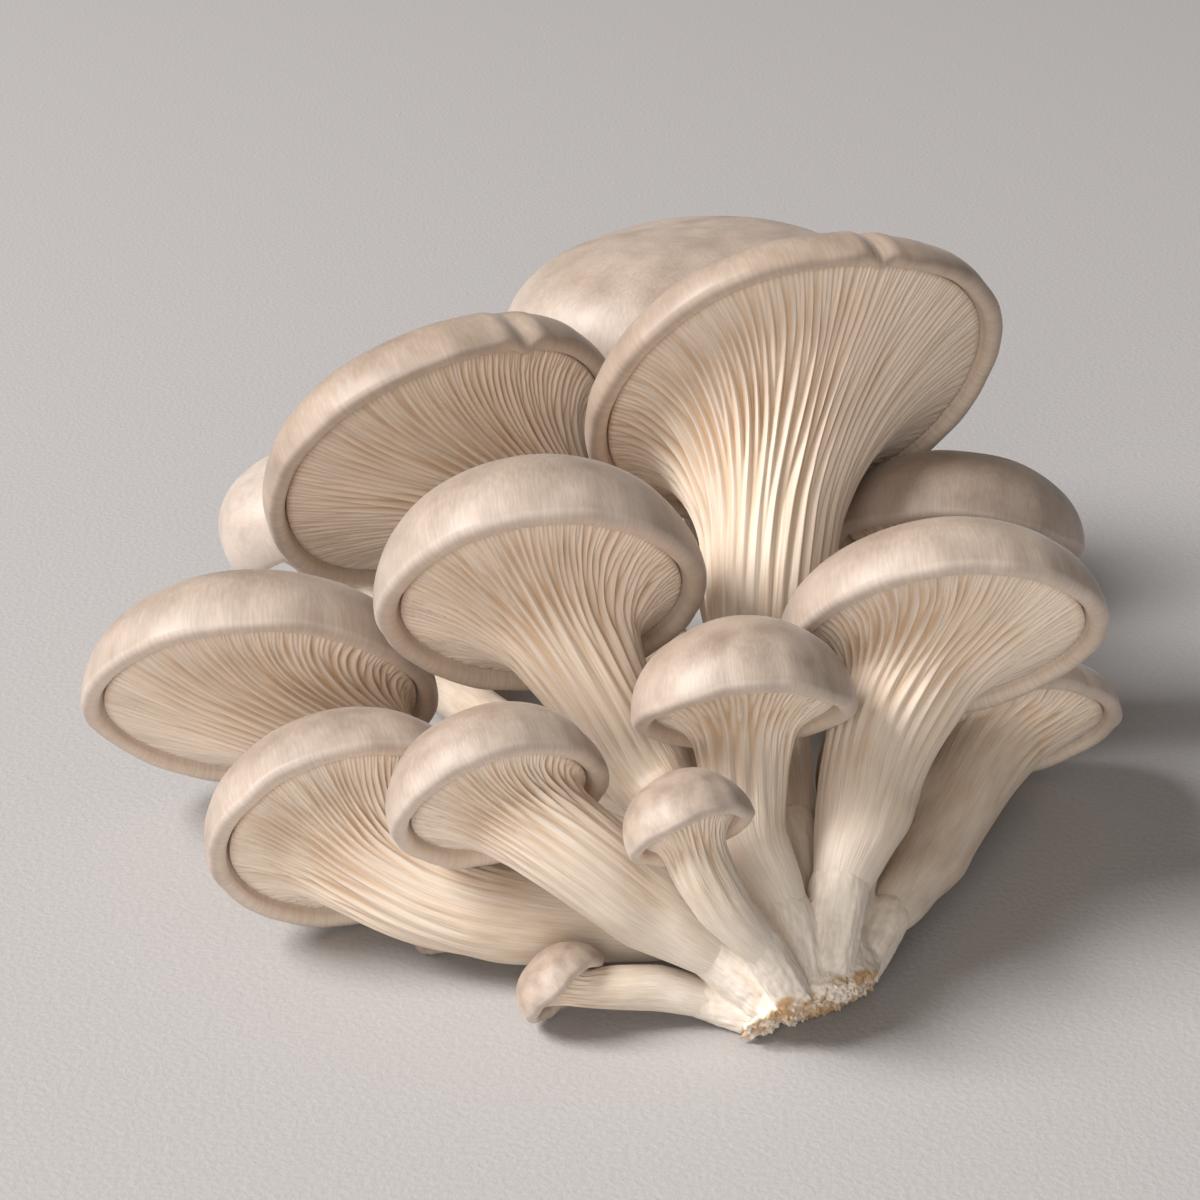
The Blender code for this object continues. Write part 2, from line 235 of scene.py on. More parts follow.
def read(data: bpy.types.Mesh, key: str) -> Grid:
    """A vector of every point of a mesh.

    Args:
        data: The mesh.
        key: The vector's name in Blender.

    Returns:
        The vectors, a row for each point.
    """
    values = np.empty(len(data.vertices) * 3)
    data.vertices.foreach_get(key, values)
    return values.reshape(-1, 3)


def store(data: bpy.types.Mesh, key: str, values: Grid) -> None:
    """Keeps a number or a vector for each point of a mesh.

    Args:
        data: The mesh.
        key: The name that a finish reads.
        values: A number or a row of three for each point.
    """
    kind, slot = ("FLOAT", "value") if values.ndim == 1 else ("FLOAT_VECTOR", "vector")
    layer = data.attributes.new(key, kind, "POINT")
    layer.data.foreach_set(slot, values.astype(np.float32).ravel())


@dataclass
class Mushroom:
    """One mushroom of the cluster, with the same sizes as in the part's source."""

    name: str
    rim: Triple
    across: float
    deep: float
    lean: float
    heading: float
    dome: float
    roll: float
    gills: int
    neck: Four
    stem: list[Four]
    fullness: float = 2.3
    dip: float = 0.0
    gill_depth: float = 1.0
    wave: float = 0.6
    waves: int = 3
    lobe: float = 0.03
    lobes: int = 2
    turn: float = 0.0
    # How dark a cap's skin is: partly its own tone, partly painted light and shade that pales caps
    # that stand in light and darkens caps that stand in shade
    tone: float = 0.74
    dents: list[Triple] = field(default_factory=list)

    def axes(self) -> tuple[Grid, Grid, Grid]:
        """The rim's axes.

        Returns:
            Its level axis, its axis up the slope and the way that the top faces.
        """
        lean, heading = math.radians(self.lean), math.radians(self.heading)
        top = np.array((
            math.sin(lean) * math.cos(heading),
            math.sin(lean) * math.sin(heading),
            math.cos(lean),
        ))
        level = np.array((math.sin(heading), -math.cos(heading), 0.0))
        return level, np.cross(top, level), top

    def radius(self) -> float:
        """The rim's mean radius."""
        return (self.across + self.deep) / 2

    def seed(self) -> float:
        """A number of its own, for whatever grows unevenly."""
        return (self.rim[0] * 0.37 + self.rim[1] * 0.61 + self.rim[2] * 0.17) % 9.7

    def rim_points(self, angle: Grid, share: Grid, lift: Grid) -> Grid:
        """Points at a share of the way out to the rim, lifted towards the cap's top.

        Args:
            angle: Their angles round the rim.
            share: Distance from the middle, as a share of the rim's radius.
            lift: Height above the rim's plane.

        Returns:
            The points.
        """
        level, slope, top = self.axes()
        turned = angle + math.radians(self.turn)
        lobed = share * (1 + self.lobe * np.sin(self.lobes * turned) * share)
        lifted = lift + self.wave * np.sin(self.waves * turned) * share**3
        return (
            np.array(self.rim)
            + level * (self.across * lobed * np.cos(angle))[..., None]
            + slope * (self.deep * lobed * np.sin(angle))[..., None]
            + top * lifted[..., None]
        )

    def inset(self, distance: float) -> float:
        """The share of the rim's radius that lies this far inside it."""
        return 1 - distance / self.radius()

    def skin_height(self, share: Grid) -> Grid:
        """Rise of the skin above the rim's plane."""
        sunk = 1 - self.dip * np.maximum(0.0, 1 - 1.5 * share**2) ** 2
        return self.dome * sunk * np.sqrt(np.maximum(0.0, 1 - share**self.fullness))

    def gill_share(self) -> float:
        """Where the gills end, just inside the rolled margin."""
        return self.inset(2 * self.roll + TRENCH)

    def seam_height(self, share: Grid) -> Grid:
        """Height of the surface where the cap's flesh sits on the gilled flesh.

        Args:
            share: Distance from the middle, as a share of the rim's radius.

        Returns:
            The height above the rim's plane.
        """
        edge = GILL_END_LIFT * self.roll + MARGIN_EDGE
        middle = edge + FLESH_SHARE * self.dome
        return middle - (middle - edge) * (share / self.gill_share()) ** 2


CLUSTER = [
    Mushroom(
        "top_right", rim=(3.5, 98.5, 77), across=40, deep=40, lean=60, heading=110,
        dome=12, fullness=5, dip=0.25, roll=1.7, gills=28,
        neck=(-3, 69.5, 49.5, 11.5), stem=[(-3, 55, 30.5, 8.0), (-0.5, 29, 23, 4.8)],
        gill_depth=1.5, wave=1.0, turn=40, tone=1.3, dents=[(-80, 2.2, 0.9)],
    ),
    Mushroom(
        "top_left", rim=(-62.5, 115, 55.5), across=36.5, deep=39, lean=58, heading=118,
        dome=14, fullness=5, dip=0.25, roll=1.7, gills=28,
        neck=(-34, 100.5, 43, 8.0), stem=[(-21.5, 78.5, 31, 6.4), (-10.5, 32.5, 16.5, 4.3)],
        gill_depth=1.4, wave=0.9, turn=200, tone=1.0, dents=[(-78, 3.2, 1.1)],
    ),
    Mushroom(
        "middle", rim=(-43, 46, 58.5), across=29, deep=29, lean=56, heading=100,
        dome=20, fullness=3.4, dip=0.15, roll=1.9, gills=24,
        neck=(-33, 39.5, 44.5, 9.2), stem=[(-24.5, 36, 30, 7.8), (-12, 19.5, 19, 4.6)],
        gill_depth=1.3,
    ),
    Mushroom(
        "far_left", rim=(-95, 67, 28), across=32.5, deep=32.5, lean=53, heading=96,
        dome=18, fullness=3.6, dip=0.2, roll=1.7, gills=24,
        neck=(-68.5, 58.5, 19.5, 8.2), stem=[(-40, 48.5, 12, 6.6), (-17.5, 30.5, 11.5, 4.5)],
        gill_depth=1.2,
    ),
    Mushroom(
        "low_left", rim=(-75.5, 27, 23), across=25.5, deep=23.5, lean=69, heading=108,
        dome=16, fullness=3.8, dip=0.15, roll=1.6, gills=24,
        neck=(-62.5, 21, 14.5, 9.0), stem=[(-44, 20, 10.5, 8.0), (-18, 18, 9, 4.7)],
        gill_depth=1.2,
    ),
    Mushroom(
        "low_middle", rim=(-49.5, 10, 38.5), across=19, deep=19, lean=58, heading=111,
        dome=14.5, fullness=2.6, roll=1.6, gills=20,
        neck=(-37, 4.5, 33, 8.4), stem=[(-24.5, 4.5, 22, 7.4), (-13.5, 4, 13.5, 5.0)],
    ),
    Mushroom(
        "front_middle", rim=(-9, 20, 50), across=19, deep=19, lean=42, heading=97,
        dome=15.5, roll=1.7, gills=18,
        neck=(-9, 20, 41, 7.4), stem=[(-8, 15, 30.5, 6.4), (-2, 7, 19.5, 4.2)],
    ),
    Mushroom(
        "front_small", rim=(-18.5, -3.5, 40.5), across=11, deep=11, lean=49, heading=117,
        dome=10, roll=1.3, gills=14,
        neck=(-16.5, -6, 34.5, 5.0), stem=[(-12.5, -6, 27.5, 4.5), (-6.5, -4.5, 19.5, 3.6)],
        gill_depth=0.7, wave=0.3,
    ),
    Mushroom(
        "right", rim=(26.5, 44, 52), across=29, deep=29, lean=52, heading=97,
        dome=15, fullness=3.6, dip=0.15, roll=1.8, gills=24,
        neck=(15, 34, 37.5, 9.6), stem=[(11.5, 22.5, 29.5, 8.0), (7, 12, 21, 5.0)],
        gill_depth=1.3,
    ),
    Mushroom(
        "far_right", rim=(45, 77.5, 17.5), across=20.5, deep=20.5, lean=52, heading=99,
        dome=9, fullness=4, dip=0.1, roll=1.5, gills=18,
        neck=(37, 66.5, 15.5, 8.0), stem=[(26, 42.5, 11, 7.0), (16, 20.5, 10, 4.1)],
    ),
    Mushroom(
        "front_low", rim=(-39, 2.5, 7.5), across=8.5, deep=8.5, lean=56, heading=142,
        dome=7, roll=1.2, gills=14,
        neck=(-31, 2.5, 7.5, 3.7), stem=[(-23, 4, 6.5, 3.9), (-14.5, 4, 4, 3.4)],
        gill_depth=0.4, wave=0.3,
    ),
    Mushroom(
        "back_top", rim=(-13.5, 162, 68.5), across=39, deep=35.5, lean=6, heading=119,
        dome=19, fullness=2.6, roll=1.9, gills=20,
        neck=(-11.5, 139, 55, 8.0), stem=[(-6, 109.5, 24.5, 6.8), (2, 35, 13, 4.6)],
        gill_depth=1.2, wave=1.4, turn=70, tone=0.45,
    ),
    Mushroom(
        "back_left", rim=(-97, 152, 28), across=16.5, deep=16.5, lean=35, heading=190,
        dome=13, fullness=2.6, roll=1.6, gills=18,
        neck=(-89, 151.5, 15.5, 5.2), stem=[(-60, 105, 9.5, 5.2), (-10, 34, 6, 4.3)],
        gill_depth=0.9, tone=0.1,
    ),
    Mushroom(
        "back_right", rim=(35, 101.5, 45), across=24.5, deep=24.5, lean=37, heading=83,
        dome=16, fullness=2.6, roll=1.8, gills=18,
        neck=(27, 91, 32, 7.0), stem=[(13, 64.5, 17.5, 5.8), (11.5, 29.5, 18.5, 4.4)],
        gill_depth=1.1, tone=0.75,
    ),
    Mushroom(
        "low_tiny", rim=(-61.5, 28, 3.5), across=5, deep=5, lean=38, heading=235,
        dome=3, roll=0.7, gills=10,
        neck=(-58, 31, 2.5, 1.9), stem=[(-48, 34, 3, 2.0), (-33, 33, 3, 2.2), (-16, 25, 3.5, 2.2)],
        gill_depth=0.3, wave=0.1,
    ),
    Mushroom(
        "rear_low_left", rim=(-30, 112, 13), across=13, deep=13, lean=75, heading=100,
        dome=7, fullness=3, dip=0.1, roll=1.3, gills=16,
        neck=(-26, 98, 12, 4.4), stem=[(-18, 72, 8, 4.0), (-1.5, 38, 4, 3.3)],
        gill_depth=0.8,
    ),
    Mushroom(
        "rear_low_right", rim=(26, 108, 12), across=12.5, deep=12.5, lean=70, heading=78,
        dome=7, fullness=3, dip=0.1, roll=1.3, gills=16,
        neck=(22, 95, 10, 4.2), stem=[(21, 70, 5.5, 3.6), (9, 33, 5, 3.3)],
        gill_depth=0.8,
    ),
]


class Value:
    """A shader socket in a sum: its operators add Math nodes."""

    def __init__(self, shading: "Shading", socket: Socket) -> None:
        """Wraps one output socket."""
        self.shading = shading
        self.socket = socket

    def _with(self, operation: str, first: object, second: object) -> "Value":
        """The result of one Math node."""
        made = self.shading.node("ShaderNodeMath", {"operation": operation}, {0: first, 1: second})
        return Value(self.shading, made.outputs[0])

    def __add__(self, other: "Value | float") -> "Value":
        """Sum."""
        return self._with("ADD", self, other)

    __radd__ = __add__

    def __sub__(self, other: "Value | float") -> "Value":
        """Difference."""
        return self._with("SUBTRACT", self, other)

    def __rsub__(self, other: float) -> "Value":
        """Difference from a plain number."""
        return self._with("SUBTRACT", other, self)

    def __mul__(self, other: "Value | float") -> "Value":
        """Product."""
        return self._with("MULTIPLY", self, other)

    __rmul__ = __mul__


class Shading:
    """Builds the nodes of one material round a Principled BSDF."""

    def __init__(self, name: str, **constants: float) -> None:
        """Makes the material and sets the sockets that are the same all over.

        Args:
            name: The material's name.
            **constants: Values for the shader's sockets, with _ for a space in their names.
        """
        self.material = bpy.data.materials.new(name)
        self.material.use_nodes = True
        self.tree = self.material.node_tree
        self.shader = self.tree.nodes["Principled BSDF"]
        for socket, value in constants.items():
            self.shader.inputs[socket.replace("_", " ")].default_value = value

    def node(self, kind: str, settings: dict, inputs: dict) -> bpy.types.Node:
        """Adds a node.

        Args:
            kind: The node's type.
            settings: Its properties.
            inputs: A value, Value or socket for each input, by name or number.

        Returns:
            The node.
        """
        made = self.tree.nodes.new(kind)
        for key, value in settings.items():
            setattr(made, key, value)
        for key, value in inputs.items():
            self.join(value, made.inputs[key])
        return made

    def join(self, value: object, socket: Socket) -> None:
        """Links a Value or a socket to an input, or sets a plain number or colour there.

        Args:
            value: What to link or to set.
            socket: The input.
        """
        if isinstance(value, Value):
            value = value.socket
        if isinstance(value, Socket):
            self.tree.links.new(value, socket)
        else:
            socket.default_value = value

    def number(self, name: str) -> Value:
        """A number stored on the mesh."""
        found = self.node("ShaderNodeAttribute", {"attribute_name": name}, {})
        return Value(self, found.outputs["Fac"])

    def grain(self, stretch: float, scale: float, detail: float) -> Value:
        """Noise along the mesh's stored grain.

        Args:
            stretch: Draws the noise out lengthwise where it is small.
            scale: How fine the noise is.
            detail: How many finer layers it has.

        Returns:
            The noise, about 0.5.
        """
        found = self.node("ShaderNodeAttribute", {"attribute_name": "grain"}, {})
        inputs = {0: found.outputs["Vector"], 1: (1, 1, stretch)}
        placed = self.node("ShaderNodeVectorMath", {"operation": "MULTIPLY"}, inputs)
        return self.cloud(placed.outputs[0], scale, detail)

    def cloud(self, place: Socket, scale: float, detail: float) -> Value:
        """Soft noise about 0.5."""
        inputs = {"Vector": place, "Scale": scale, "Detail": detail}
        return Value(self, self.node("ShaderNodeTexNoise", {}, inputs).outputs["Fac"])

    def between(self, value: Value, low: float, high: float) -> Value:
        """A value turned into 0 at low and 1 at high, softly.

        Args:
            value: The value.
            low: Where it gives 0.
            high: Where it gives 1.

        Returns:
            The number from 0 to 1.
        """
        inputs = {"Value": value, "From Min": low, "From Max": high}
        made = self.node("ShaderNodeMapRange", {"interpolation_type": "SMOOTHSTEP"}, inputs)
        return Value(self, made.outputs["Result"])

    def mix(self, factor: object, first: object, second: object, blend: str = "MIX") -> Socket:
        """Two colours mixed by a factor.

        Args:
            factor: How much of the second colour there is.
            first: A colour, or the socket that gives it.
            second: The same for the other colour.
            blend: The way in which they mix.

        Returns:
            The socket of the mixed colour.
        """
        colours = [c if isinstance(c, Socket) else (*c, 1.0) for c in (first, second)]
        settings = {"data_type": "RGBA", "blend_type": blend}
        inputs = {0: factor, MIX_FIRST: colours[0], MIX_SECOND: colours[1]}
        return self.node("ShaderNodeMix", settings, inputs).outputs[MIX_RESULT]

    def bumps(self, height: Value, distance: float, strength: float) -> Socket:
        """A normal raised by a height, over a distance in metres."""
        inputs = {"Height": height, "Distance": distance, "Strength": strength}
        return self.node("ShaderNodeBump", {}, inputs).outputs["Normal"]

    def finish(self, colour: object, roughness: object, normal: object) -> Material:
        """Joins the last values to the shader.

        Args:
            colour: The base colour.
            roughness: The roughness.
            normal: The normal.

        Returns:
            The material.
        """
        self.join(colour, self.shader.inputs["Base Color"])
        self.join(roughness, self.shader.inputs["Roughness"])
        self.join(normal, self.shader.inputs["Normal"])
        return self.material


@dataclass(frozen=True)
class CapSkin:
    """Satin taupe skin with fine radial fibrils, paler where it rolls under."""

    taupe: Triple = (0.46, 0.357, 0.28)
    umber: Triple = (0.295, 0.216, 0.162)
    pale: Triple = (0.70, 0.605, 0.535)
    lip: Triple = (0.77, 0.64, 0.525)

    def dress(self) -> Material:
        """Makes the material of every cap.

        Returns:
            The material.
        """
        s = Shading("cap_skin", Coat_Roughness=0.4, Sheen_Weight=0.15, Sheen_Roughness=0.4,
                    Subsurface_Weight=0.08, Subsurface_Scale=0.003)
        # Partly painted light and shade: the tone number darkens or pales each whole cap, partly
        # its own tone, partly matching how brightly that cap is lit
        edge, tone = s.number("edge"), s.number("tone")
        fibrils = s.grain(0.1, 60.0, 3.0)
        threads = s.grain(0.06, 160.0, 2.0)
        patches = s.grain(1, 3.2, 3.0)
        body = s.mix(s.between(patches, 0.25, 0.9), self.taupe, self.umber)
        depth = tone + (patches - 0.5) * 0.4 - s.between(edge, 0.8, 1.15) * 0.65
        skin = s.mix(s.between(depth, -0.6, 0.85), self.pale, body)
        skin = s.mix(s.between(edge, 1.2, 1.7), skin, self.lip)
        streaks = s.mix(s.between(fibrils, 0.35, 0.7), (0.92, 0.91, 0.90), (1.04, 1.04, 1.04))
        skin = s.mix(1.0, skin, streaks, "MULTIPLY")
        relief = fibrils * 0.6 + threads * 0.4
        shine = 0.4 + fibrils * 0.14
        return s.finish(skin, shine, s.bumps(relief, 0.0003, 0.22))


@dataclass(frozen=True)
class GilledFlesh:
    """Cream flesh: pale gill edges over painted shade in the hollows, whiter down the stem."""

    edge: Triple = (0.82, 0.695, 0.575)
    # Painted shade: the colour that darkens the hollows between the gills
    shaded_hollow: Triple = (0.62, 0.44, 0.285)
    stem: Triple = (0.75, 0.64, 0.525)
    tan: Triple = (0.67, 0.525, 0.39)
    root: Triple = (0.84, 0.755, 0.655)

    def dress(self) -> Material:
        """Makes the material of every gilled stem.

        Returns:
            The material.
        """
        s = Shading("gilled_flesh", Sheen_Weight=0.1)
        relief, grown, white = s.number("relief"), s.number("grown"), s.number("white")
        fibres = s.grain(0.12, 26.0, 3.0)
        patches = s.grain(1, 2.4, 3.0)
        # Painted shade in the hollows between gills, mixed in where the relief number is low
        gilled = s.mix(s.between(relief, 0.0, 0.75), self.shaded_hollow, self.edge)
        bare = s.mix(s.between(patches, 0.35, 0.75), self.stem, self.tan)
        bare = s.mix(s.between(white + (patches - 0.5) * 0.3, 0.0, 1.0), bare, self.root)
        flesh = s.mix(s.between(grown, 0.2, 0.75), bare, gilled)
        streaks = s.mix(s.between(fibres, 0.3, 0.7), (0.9, 0.88, 0.86), (1.05, 1.05, 1.05))
        flesh = s.mix(1.0, flesh, streaks, "MULTIPLY")
        return s.finish(flesh, 0.55 + fibres * 0.12, s.bumps(fibres, 0.0004, 0.4))


@dataclass(frozen=True)
class FootFlesh:
    """White felted flesh with tan crumbs along the torn cut and brown pits."""

    cream: Triple = (0.72, 0.60, 0.475)
    root: Triple = (0.84, 0.755, 0.655)
    crumb: Triple = (0.56, 0.36, 0.185)
    pit: Triple = (0.20, 0.105, 0.045)

    def dress(self) -> Material:
        """Makes the material of the foot.

        Returns:
            The material.
        """
        s = Shading("foot_flesh", Sheen_Weight=0.1)
        place = s.node("ShaderNodeTexCoord", {}, {}).outputs["Object"]
        torn, sunk, white = s.number("torn"), s.number("sunk"), s.number("white")
        spots = s.cloud(place, 240.0, 3.0)
        felt = s.cloud(place, 900.0, 3.0)
        fibres = s.grain(1, 30.0, 3.0)
        flesh = s.mix(s.between(white + (fibres - 0.5) * 0.3, 0.0, 1.0), self.cream, self.root)
        streaks = s.mix(s.between(fibres, 0.3, 0.7), (0.91, 0.89, 0.87), (1.05, 1.05, 1.05))
        flesh = s.mix(1.0, flesh, streaks, "MULTIPLY")
        flesh = s.mix(s.between(spots * (0.45 + torn * 0.6), 0.4, 0.6), flesh, self.crumb)
        flesh = s.mix(s.between(sunk + (spots - 0.5) * 0.5, 0.3, 0.8), flesh, self.pit)
        return s.finish(flesh, 0.68, s.bumps(fibres * 0.85 + felt * torn * 0.4, 0.0004, 0.4))


@dataclass(frozen=True)
class TableTop:
    """The pale floor, with the faint tooth of heavy paper."""

    colour: Triple = (0.47, 0.452, 0.443)

    def dress(self) -> Material:
        """Makes the floor's material.

        Returns:
            The material.
        """
        s = Shading("table_top")
        place = s.node("ShaderNodeTexCoord", {}, {}).outputs["Object"]
        tooth = s.cloud(place, 900.0, 2.0)
        tint = s.mix(s.between(tooth, 0.3, 0.7), [c * 0.95 for c in self.colour], self.colour)
        return s.finish(tint, 0.85, s.bumps(tooth, 0.0004, 0.35))


@dataclass
class RingMesh:
    """A closed surface through rings of points, each with the numbers that its finish reads."""

    name: str = ""
    rings: list[Grid] = field(default_factory=list)
    numbers: dict[str, list[Grid]] = field(default_factory=dict)

    def add(self, points: Grid, **numbers: Grid | float) -> None:
        """Adds a ring.

        Args:
            points: Its points, in table millimetres.
            **numbers: By name, a number or vector for each point, or one number for all.
        """
        self.rings.append(points)
        for key, value in numbers.items():
            each = value if np.ndim(value) else np.full(len(points), float(value))
            self.numbers.setdefault(key, []).append(each)

    def _band(self, first: int, low: int, second: int, high: int) -> list[Grid]:
        """Faces between two rings, of which one may have twice the other's corners.

        Args:
            first: Number of the lower ring's first point.
            low: How many points the lower ring has.
            second: Number of the upper ring's first point.
            high: How many points the upper ring has.

        Returns:
            The faces, in groups.
        """
        i = np.arange(min(low, high))
        if low == high:
            j = (i + 1) % low
            return [np.stack([first + i, first + j, second + j, second + i], 1)]
        few, many, flip = (first, second, False) if low < high else (second, first, True)
        a, b = few + i, few + (i + 1) % len(i)
        c0, c1, c2 = many + 2 * i, many + 2 * i + 1, many + (2 * i + 2) % (2 * len(i))
        faces = [np.stack(t, 1) for t in ((a, c1, c0), (a, b, c1), (b, c2, c1))]
        return [f[:, ::-1] for f in faces] if flip else faces

    def _end(self, first: int, count: int, middle: int, up: bool) -> Grid:
        """A fan that closes a ring onto a middle point.

        Args:
            first: Number of the ring's first point.
            count: How many points the ring has.
            middle: Number of the middle point.
            up: Whether the fan lies at the upper end.

        Returns:
            The faces.
        """
        i = np.arange(count)
        fan = np.stack([first + i, first + (i + 1) % count, np.full(count, middle)], 1)
        return fan if up else fan[:, ::-1]

    def solid(self) -> tuple[Grid, list[list[int]]]:
        """The closed surface.

        Returns:
            Its points, in table millimetres, and its faces.
        """
        starts = np.cumsum([0, *(len(r) for r in self.rings)])
        middles = [self.rings[0].mean(0), self.rings[-1].mean(0)]
        points = np.concatenate([*self.rings, middles])
        count = len(points)
        faces = []
        for n, (ring, after) in enumerate(zip(self.rings, self.rings[1:])):
            faces += self._band(starts[n], len(ring), starts[n + 1], len(after))
        faces.append(self._end(starts[0], len(self.rings[0]), count - 2, up=False))
        faces.append(self._end(starts[-2], len(self.rings[-1]), count - 1, up=True))
        return points, [face for group in faces for face in group.tolist()]

    def build(self, material: Material) -> Thing:
        """Makes the object, in the part's frame.

        Args:
            material: Its finish.

        Returns:
            The object.
        """
        points, faces = self.solid()
        data = bpy.data.meshes.new(self.name)
        data.from_pydata(((points - REST_SPOT) * MM).tolist(), [], faces)
        for key, values in self.numbers.items():
            store(data, key, np.concatenate([*values, [values[0].mean(0), values[-1].mean(0)]]))
        data.materials.append(material)
        data.shade_smooth()
        data.update()
        made = bpy.data.objects.new(self.name, data)
        bpy.context.scene.collection.objects.link(made)
        return made


def place_piece(piece: Thing, node: str) -> None:
    """Puts a piece on the cluster in place of its node and reports it.

    Args:
        piece: The piece.
        node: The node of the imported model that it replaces.
    """
    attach(piece, BODY)
    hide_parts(node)
    LOG.info("%s stands for %s: %d faces", piece.name, node, len(piece.data.polygons))


def swept(rows: Grid, spacing: float) -> tuple[Grid, Grid]:
    """Fine rows on smooth curves through coarse ones.

    Args:
        rows: Coarse rows of points, as (rows, columns, 3).
        spacing: Distance wanted between fine rows.

    Returns:
        The fine rows, and each one's place counted in coarse rows.
    """
    ends = np.concatenate([2 * rows[:1] - rows[1:2], rows, 2 * rows[-1:] - rows[-2:-1]])
    found, places = [], []
    for n in range(len(rows) - 1):
        four = ends[n : n + 4]
        count = max(1, round(float(np.linalg.norm(four[2] - four[1], axis=-1).mean()) / spacing))
        for t in np.arange(count) / count:
            found.append(on_curve(four, t))
            places.append(n + t)
    return np.array([*found, rows[-1]]), np.array([*places, len(rows) - 1.0])


@dataclass
class Cap:
    """A domed cap with its margin rolled under."""

    mushroom: Mushroom
    column_gap: float = 1.15
    under_steps: int = 6
    roll_steps: int = 22
    shoulder_steps: int = 24
    crown_steps: int = 16
    shoulder_end: float = 0.72
    crown_end: float = 0.03
    fewest_columns: int = 64
    margin_reach: float = 4.0

    def _sections(self) -> list[Four]:
        """The cap's section: under the flesh, round the roll, over the dome.

        Returns:
            Its points as (share, lift, edge, run).
        """
        m = self.mushroom
        wall = m.inset(2 * m.roll)
        rows = []
        for k in np.linspace(0.1, 0.97, self.under_steps):
            rows.append((wall * k, float(m.seam_height(wall * k)) + UNDER_GAP, UNDERSIDE))
        for turn in np.radians(np.linspace(-180, 0, self.roll_steps, endpoint=False)):
            place = m.inset(m.roll * (1 - math.cos(turn))), m.roll * math.sin(turn)
            rows.append((*place, 1 - turn / math.pi))
        end = math.acos(self.shoulder_end ** (m.fullness / 2))
        angles = np.linspace(0, end, self.shoulder_steps, endpoint=False)
        shares = [math.cos(angle) ** (2 / m.fullness) for angle in angles]
        shares += list(np.linspace(self.shoulder_end, self.crown_end, self.crown_steps))
        rows += [(share, float(m.skin_height(np.array(share))), share) for share in shares]
        run, whole = 0.0, []
        for n, (share, lift, edge) in enumerate(rows):
            if n:
                run += math.hypot((share - rows[n - 1][0]) * m.radius(), lift - rows[n - 1][1])
            whole.append((share, lift, edge, run / m.radius()))
        return whole

    def build(self, material: Material) -> Thing:
        """Makes the cap's piece.

        Args:
            material: Its finish.

        Returns:
            The piece.
        """
        m = self.mushroom
        seed = m.seed()
        columns = max(self.fewest_columns, round(2 * math.pi * m.radius() / self.column_gap))
        angle = round_angles(columns)
        uneven = rolling(angle, seed, MARGIN_LIFT)
        ripple = rolling(angle, seed + 3, MARGIN_RIPPLE)
        mesh = RingMesh(f"skin_{m.name}")
        for share, lift, edge, run in self._sections():
            rim_like = math.exp(-(((1 - share) * m.radius() / self.margin_reach) ** 2))
            shares = np.full(columns, share)
            lifts = np.full(columns, lift)
            if edge <= ROLL_END:
                shares = shares + ripple * rim_like / m.radius()
                lifts = lifts + uneven * 0.4 * min(1.0, (ROLL_END - edge) * 2) * rim_like
            for at, wide, deep in m.dents if edge <= DENT_END else ():
                off = (np.degrees(angle) - at + 180) % 360 - 180
                sides = np.exp(-(((abs(off) - DENT_SIDES_AT * wide) / wide) ** 2))
                notch = deep * np.exp(-((off / wide) ** 2)) - DENT_SIDES * deep * sides
                shares = shares - notch * rim_like / m.radius()
                lifts = lifts - notch * 0.7 * rim_like
            if edge < LUMPS_END:
                lumps = rolling(angle, seed + 5, DOME_LUMPS) * math.sin(math.pi * share)
                lifts = lifts + lumps * m.radius() / LARGEST_RADIUS
            spread = edge / (CROWN_GRAIN + (1 - CROWN_GRAIN) * edge) if edge < 1 else 1.0
            grain = [np.cos(angle) * spread + seed, np.sin(angle) * spread, np.full(columns, run)]
            rim = m.rim_points(angle, shares, lifts)
            mesh.add(rim, edge=edge, tone=m.tone, grain=np.stack(grain, 1))
        return mesh.build(material)


